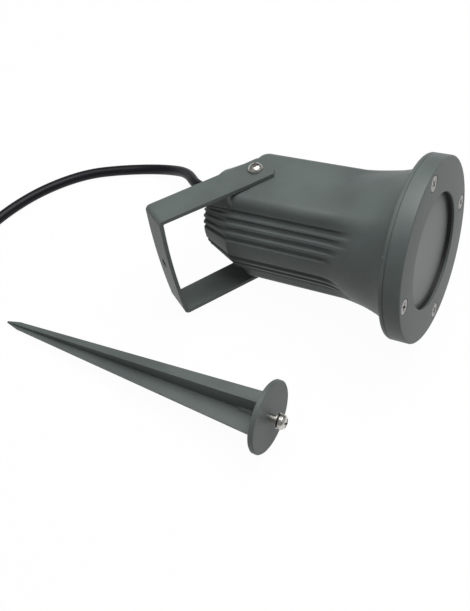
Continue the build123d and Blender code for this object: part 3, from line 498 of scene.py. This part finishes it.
def carved(piece, added, removed):
    """Joins bars to a piece where there are any, drills bars out of it, then drops the tools."""
    tools = [(tool, operation) for tool, operation in ((added, "UNION"), (removed, "DIFFERENCE")) if tool]
    for tool, operation in tools:
        modifier = piece.modifiers.new(operation, "BOOLEAN")
        modifier.operation = operation
        modifier.solver = "EXACT"
        modifier.object = tool
    bpy.context.view_layer.update()
    finished = piece.evaluated_get(bpy.context.evaluated_depsgraph_get())
    data = bpy.data.meshes.new_from_object(finished)
    piece.modifiers.clear()
    piece.data = data
    for tool, _ in tools:
        bpy.data.objects.remove(tool)


def soften(piece, sharp=35):
    """Smooth shading, kept sharp where faces meet at more than this many degrees."""
    mesh = bmesh.new()
    mesh.from_mesh(piece.data)
    for face in mesh.faces:
        face.smooth = True
    for rim_shade in mesh.edges:
        rim_shade.smooth = len(rim_shade.link_faces) == 2 and rim_shade.calc_face_angle(0) < math.radians(sharp)
    mesh.to_mesh(piece.data)
    mesh.free()


# %% The casting, with its bosses and its holes
def swung(x, y, z, turn):
    """A point turned about the lamp's axis."""
    sine, cosine = math.sin(math.radians(turn)), math.cos(math.radians(turn))
    return x, y * cosine - z * sine, y * sine + z * cosine


SCREW_CIRCLE_R, TAPPED_R = 39, 2.05
POST_OUT, POST_TURN = 18, 50
BOSS_R, PILOT_R = 3.2, 1.55
casting = grid_mesh("casting", loops, angles)
bosses, holes = [], []
for way in (1, -1):
    bosses.append(((0, 0, way * 19.8), (0, 0, way * 25.8), 5.0))
    holes.append(((0, 0, way * 21.16), (0, 0, way * 27.8), TAPPED_R))
    out = way * POST_OUT
    bosses.append((swung(-23.5, out, 0, POST_TURN), swung(3.36, out, 0, POST_TURN), BOSS_R))
    holes.append((swung(-3.6, out, 0, POST_TURN), swung(5.6, out, 0, POST_TURN), PILOT_R))
for quarter in range(4):
    turn = 90 * quarter
    start, end = swung(81.8, 0, SCREW_CIRCLE_R, turn), swung(SEAM_X + 1, 0, SCREW_CIRCLE_R, turn)
    holes.append((start, end, TAPPED_R))
bosses += [((-23.5, 4, -14), (-18.0, 4, -14), BOSS_R), ((-23.5, -6, 0), (-15.04, -6, 0), BOSS_R)]
holes += [((-23.7, 4, -14), (-17.0, 4, -14), PILOT_R), ((-21.2, -6, 0), (-14.0, -6, 0), PILOT_R),
          ((-29.5, 11.5, 0), (-16.0, 11.5, 0), 5.25)]
carved(casting, bars("bosses", bosses), bars("holes", holes))
soften(casting)
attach(casting, "head")
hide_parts("housing")
print("casting", len(casting.data.vertices), "points,", len(casting.data.polygons), "faces")

# %% [markdown]
# ## The ring
# In the picture the seam between flange and ring lies close behind the rim's rear edge: the ring is a
# thick plate and the flange is thin. The scene's ring therefore reaches further back than the solid's.
# It is one closed line, spun about the lamp's axis, with four countersunk holes. The screws stay the CAD
# model's, so they reach only a little way into the flange.

# %% The ring
FACE_X, LIP_X, OPENING_R, EDGE_ROUND, OPENING_EDGE = 91.0, 89.8, 28.3, 0.9, 0.3
SPIN_STEPS = 160
ring_line = [(FACE_X - EDGE_ROUND * (1 - math.sin(math.radians(a))),
              RIM_R - EDGE_ROUND * (1 - math.cos(math.radians(a)))) for a in (0, 22.5, 45, 67.5, 90)]
ring_line += [(FACE_X, OPENING_R + OPENING_EDGE), (FACE_X - OPENING_EDGE, OPENING_R), (LIP_X, OPENING_R),
              (LIP_X, POCKET_R), (SEAM_X, POCKET_R), (SEAM_X, RIM_R - SEAM_EDGE), (SEAM_X + SEAM_EDGE, RIM_R)]
mesh = bmesh.new()
corners = [mesh.verts.new(from_lamp(x, 0, r)) for x, r in ring_line]
sides = [mesh.edges.new(pair) for pair in zip(corners, corners[1:] + corners[:1])]
bmesh.ops.spin(mesh, geom=corners + sides, cent=pivot, axis=lamp_axis, angle=2 * math.pi, steps=SPIN_STEPS,
               use_merge=True)
bmesh.ops.remove_doubles(mesh, verts=mesh.verts, dist=0.01 * MM)
bmesh.ops.recalc_face_normals(mesh, faces=mesh.faces)
clamp_ring = piece_from("clamp_ring", mesh)
for start, end, *radii in ((SEAM_X - 1, FACE_X + 1, 2.25), (FACE_X - 2.45, FACE_X + 0.1, 2.3, 4.15)):
    shape = [(swung(start, 0, SCREW_CIRCLE_R, turn), swung(end, 0, SCREW_CIRCLE_R, turn), *radii)
             for turn in (0, 90, 180, 270)]
    carved(clamp_ring, None, bars("sinks", shape))
soften(clamp_ring)
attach(clamp_ring, "head")
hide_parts("front_ring")
print("ring", len(clamp_ring.data.vertices), "points,", len(clamp_ring.data.polygons), "faces")

# %% [markdown]
# ## Powder coat
# The castings and the bracket are powder coated: a satin, grey-green paint whose surface is pebbled at
# about half a millimetre, with a lighter speck here and there. A fine noise drives both the relief and
# the specks, and a much wider one keeps large faces from looking printed. On the flange's rear edge the
# coat is chipped down to bright metal in a few small spots.

# %% Powder coat
COAT = (0.098, 0.118, 0.112)
COAT_LIGHT = (0.135, 0.155, 0.148)
COAT_DARK = (0.078, 0.094, 0.090)
BARE_METAL = (0.42, 0.42, 0.40)
# How far the chips reach from the edge, and how far out they start, in metres.
CHIP_BAND = (0.0001, 0.0004)
CHIP_OUT = (0.0443, 0.0445)


def powder_coat(name, chipped_edge=None, roughness=0.5):
    """Pebbled satin paint, with the edge at this distance ahead of the pivot chipped."""
    recipe = Recipe(name)
    place = recipe.place()
    pebbles = recipe.noise(place, 0.0005, detail=3.0, roughness=0.6)
    specks = recipe.step(recipe.noise(place, 0.0009, detail=1.0), 0.60, 0.78)
    clouds = recipe.noise(place, 0.035, detail=3.0)
    colour = recipe.mix(recipe.step(clouds, 0.35, 0.65), COAT_DARK, COAT)
    colour = recipe.mix(specks * 0.35, colour, COAT_LIGHT)
    gloss = roughness + 0.12 * (clouds - 0.5) + 0.10 * (pebbles - 0.5)
    if chipped_edge is not None:
        ahead, out = along_lamp(recipe, place)
        off_edge = recipe.node("ShaderNodeMath", {"operation": "ABSOLUTE"}, {0: ahead - chipped_edge})
        near = (1 - recipe.step(off_edge, *CHIP_BAND)) * recipe.step(out, *CHIP_OUT)
        chips = recipe.step(recipe.noise(place, 0.0016, detail=2.0), 0.60, 0.66)
        patches = recipe.step(recipe.noise(place, 0.02, detail=1.0), 0.46, 0.56)
        colour = recipe.mix(near * chips * patches, colour, BARE_METAL)
    relief = recipe.bump(pebbles, 0.00008, 0.55)
    return recipe.finish(Base_Color=colour, Roughness=gloss, Normal=relief)


CHIPPED_AHEAD = 0.0811
coat_body = powder_coat("coat_body", chipped_edge=CHIPPED_AHEAD)
for piece in (casting, clamp_ring):
    piece.data.materials.clear()
    piece.data.materials.append(coat_body)
dress(powder_coat("coat_bracket"), "u_bracket")
dress(powder_coat("coat_spike"), "spike")

# %% [markdown]
# ## The glass and its seals
# The glass is frosted, so it scatters what is behind it into an even grey. A slightly darker band of painted
# shade lies on it just inside the ring, where the ring's lip shades it. The seals are plain black rubber,
# dull and a little dusty.

# %% Frosted glass
GLASS_MIDDLE = (0.190, 0.207, 0.197)
# Painted shade: the glass is darker just inside the ring's lip. The band below gives where that shade fades
# in, in metres from the axis.
GLASS_RIM_SHADE = (0.115, 0.125, 0.120)
GLASS_HAZE = (0.26, 0.28, 0.27)
GLASS_SHADE_BAND = (0.0256, 0.0264)
recipe = Recipe("frosted_glass")
place = recipe.place()
_, out = along_lamp(recipe, place)
# Painted shade from the ring's lip, on the outer band of the glass.
rim_shade = recipe.step(out, *GLASS_SHADE_BAND)
frost = recipe.noise(place, 0.0004, detail=2.0)
haze = recipe.noise(place, 0.03, detail=2.0)
colour = recipe.mix(rim_shade, GLASS_MIDDLE, GLASS_RIM_SHADE)
colour = recipe.mix(0.15 * haze, colour, GLASS_HAZE)
dress(recipe.finish(Base_Color=colour, Roughness=0.42 + 0.1 * haze, Normal=recipe.bump(frost, 0.00002, 0.4)),
      "lens_glass")

# %% Rubber
def rubber(name, colour, dusty, roughness, shine=0.5):
    """Black rubber with a little grey dust."""
    recipe = Recipe(name)
    place = recipe.place()
    dust = recipe.step(recipe.noise(place, 0.012, detail=4.0, roughness=0.6), 0.5, 0.8)
    grain = recipe.noise(place, 0.0007, detail=2.0)
    worn = recipe.mix(dust * 0.4, colour, dusty)
    return recipe.finish(Base_Color=worn, Roughness=roughness + 0.15 * dust, Specular_IOR_Level=shine,
                         Normal=recipe.bump(grain, 0.00004, 0.35))


dress(rubber("seal_rubber", (0.012, 0.012, 0.013), (0.03, 0.03, 0.03), 0.6), "lens_gasket", "seat_seal",
      "cable_grommet", "pivot_washers")
lead_rubber = rubber("lead_rubber", (0.006, 0.006, 0.009), (0.014, 0.014, 0.018), 0.42, 0.22)
lead.data.materials.append(lead_rubber)
dress(lead_rubber, "cable_inner")

# %% [markdown]
# ## Metal and wiring
# The screws are bright stainless steel, turned on a machine, so their faces carry fine scratches that
# catch the light. The ring's screws are duller, and the split washer is blackened. The rest of the metal
# hides inside the housing, but a part in a library is opened one day, so it gets its own finishes too.


# %% Screws, washers and wiring
def metal(name, colour, roughness, scratched=0.3):
    """Bare metal with fine scratches and a few stains."""
    recipe = Recipe(name)
    place = recipe.place()
    stretched = recipe.node("ShaderNodeMapping", {}, {"Vector": place, "Scale": (1.0, 0.12, 1.0)})
    scratches = recipe.noise(stretched, 0.00025, detail=2.0)
    stains = recipe.step(recipe.noise(place, 0.002, detail=3.0), 0.45, 0.75)
    shade = tuple(part * 0.72 for part in colour)
    return recipe.finish(Base_Color=recipe.mix(stains * 0.6, colour, shade), Metallic=1.0,
                         Roughness=roughness + 0.12 * stains + 0.1 * (scratches - 0.5),
                         Normal=recipe.bump(scratches, 0.00002, scratched))


dress(metal("stainless", (0.60, 0.585, 0.55), 0.28), "pivot_screws", "spike_screw", "spike_flat_washer")
dress(metal("dull_stainless", (0.36, 0.35, 0.335), 0.42), "ring_screws")
dress(metal("blackened_steel", (0.05, 0.048, 0.045), 0.4), "spike_spring_washer")
dress(metal("zinc_plate", (0.56, 0.57, 0.58), 0.35), "holder_bracket", "bracket_screws", "holder_screws",
      "terminal_screw", "terminal_clamps")
dress(metal("brass", (0.60, 0.43, 0.17), 0.3), "earth_screw", "gu10_pins")
dress(metal("tin_plate", (0.55, 0.55, 0.54), 0.35), "earth_tag", "core_ferrules")
dress(metal("reflector", (0.80, 0.80, 0.81), 0.12, 0.1), "gu10_reflector")


# %% Plastics, ceramic and clear glass
def plastic(name, colour, roughness):
    """Moulded plastic or glaze, with faint flow marks."""
    recipe = Recipe(name)
    place = recipe.place()
    flow = recipe.noise(place, 0.006, detail=2.0)
    skin = recipe.noise(place, 0.0004, detail=2.0)
    shade = tuple(part * 0.8 for part in colour)
    return recipe.finish(Base_Color=recipe.mix(flow, colour, shade), Roughness=roughness + 0.1 * (flow - 0.5),
                         Normal=recipe.bump(skin, 0.00002, 0.3))


dress(plastic("ceramic", (0.72, 0.70, 0.65), 0.4), "gu10_base", "lamp_holder")
dress(plastic("terminal_plastic", (0.75, 0.75, 0.72), 0.45), "terminal_block")
dress(plastic("brown_insulation", (0.075, 0.028, 0.012), 0.4), "cable_core_brown", "lead_brown",
      "lead_lamp_live")
dress(plastic("blue_insulation", (0.02, 0.07, 0.30), 0.4), "cable_core_blue", "lead_blue",
      "lead_lamp_neutral")
recipe = Recipe("clear_glass")
smudges = recipe.noise(recipe.place(), 0.006, detail=3.0)
dress(recipe.finish(Base_Color=(0.9, 0.93, 0.93), Roughness=0.05 + 0.1 * smudges, Alpha=0.25), "gu10_cover")

# %% Green and yellow earth insulation
recipe = Recipe("earth_insulation")
place = recipe.place()
bands = recipe.node("ShaderNodeTexWave", {"wave_type": "BANDS", "bands_direction": "DIAGONAL"},
                    {"Vector": place, "Scale": 130.0, "Distortion": 0.0})
colour = recipe.mix(recipe.step(bands, 0.45, 0.55), (0.03, 0.20, 0.05), (0.62, 0.50, 0.03))
dress(recipe.finish(Base_Color=colour, Roughness=0.4), "cable_core_earth", "lead_earth")

# %% [markdown]
# ## Floor and light
# The picture has a plain white ground. The floor glows white for the camera and for reflections, and is
# a dark grey diffuse surface for all other rays, so that it lights the lamp only weakly from below. The
# small share of grey that the camera still sees keeps a faint shadow under the lamp. The light is broad
# and soft, from above and a little from behind, with a weak light from the right on the ring's face and
# a weaker one from the front left.

# %% The floor
FLOOR_HALF = 4
FLOOR_PALE = 0.20
FLOOR_GLOW = 1.10
FLOOR_SEEN = 0.88
floor_mesh = bpy.data.meshes.new("floor")
corners = [(x * FLOOR_HALF, y * FLOOR_HALF, 0) for x, y in ((-1, -1), (1, -1), (1, 1), (-1, 1))]
floor_mesh.from_pydata(corners, [], [(0, 1, 2, 3)])
floor = bpy.data.objects.new("floor", floor_mesh)
bpy.context.scene.collection.objects.link(floor)

recipe = Recipe("floor")
rays = {name: recipe.node("ShaderNodeLightPath", output=name)
        for name in ("Is Camera Ray", "Is Glossy Ray", "Is Transmission Ray")}
seen = rays["Is Camera Ray"] + rays["Is Glossy Ray"] + rays["Is Transmission Ray"]
paint = recipe.node("ShaderNodeBsdfDiffuse", {}, {"Color": (FLOOR_PALE, FLOOR_PALE, FLOOR_PALE, 1)},
                    output="BSDF")
glow = recipe.node("ShaderNodeEmission", {}, {"Color": (1, 1, 1, 1), "Strength": FLOOR_GLOW},
                   output="Emission")
both = recipe.node("ShaderNodeMixShader", {}, {0: seen * FLOOR_SEEN, 1: paint, 2: glow}, output="Shader")
recipe.put(recipe.tree.nodes["Material Output"].inputs["Surface"], both)
floor_mesh.materials.append(recipe.material)

# %% The sky
SKY_STRENGTH = 0.23
world = bpy.data.worlds.new("sky")
bpy.context.scene.world = world
world.use_nodes = True
sky = world.node_tree
ambient = sky.nodes["Background"]
ambient.inputs["Color"].default_value = (1, 1, 1, 1)
ambient.inputs["Strength"].default_value = SKY_STRENGTH
white = sky.nodes.new("ShaderNodeBackground")
white.inputs["Strength"].default_value = 1.0
path = sky.nodes.new("ShaderNodeLightPath")
choice = sky.nodes.new("ShaderNodeMixShader")
sky.links.new(path.outputs["Is Camera Ray"], choice.inputs[0])
sky.links.new(ambient.outputs[0], choice.inputs[1])
sky.links.new(white.outputs[0], choice.inputs[2])
sky.links.new(choice.outputs[0], sky.nodes["World Output"].inputs["Surface"])


# %% The lamps
def soft_light(name, spot, target, size, watts):
    """A square soft box that looks at a point."""
    data = bpy.data.lights.new(name, "AREA")
    data.size = size
    data.energy = watts
    lamp = bpy.data.objects.new(name, data)
    lamp.location = spot
    away = Vector(spot) - Vector(target)
    lamp.rotation_euler = away.to_track_quat("Z", "Y").to_euler()
    bpy.context.scene.collection.objects.link(lamp)


soft_light("key", (0.10, 0.22, 1.0), (0.02, 0.0, 0.03), 0.8, 12.0)
soft_light("side", (0.9, 0.1, 0.45), (0.05, 0.0, 0.04), 0.6, 0.4)
soft_light("fill", (-0.35, -0.7, 0.55), (0.02, 0.0, 0.03), 0.8, 0.3)

# %% The colours as they are
view = bpy.context.scene.view_settings
view.view_transform = "Standard"
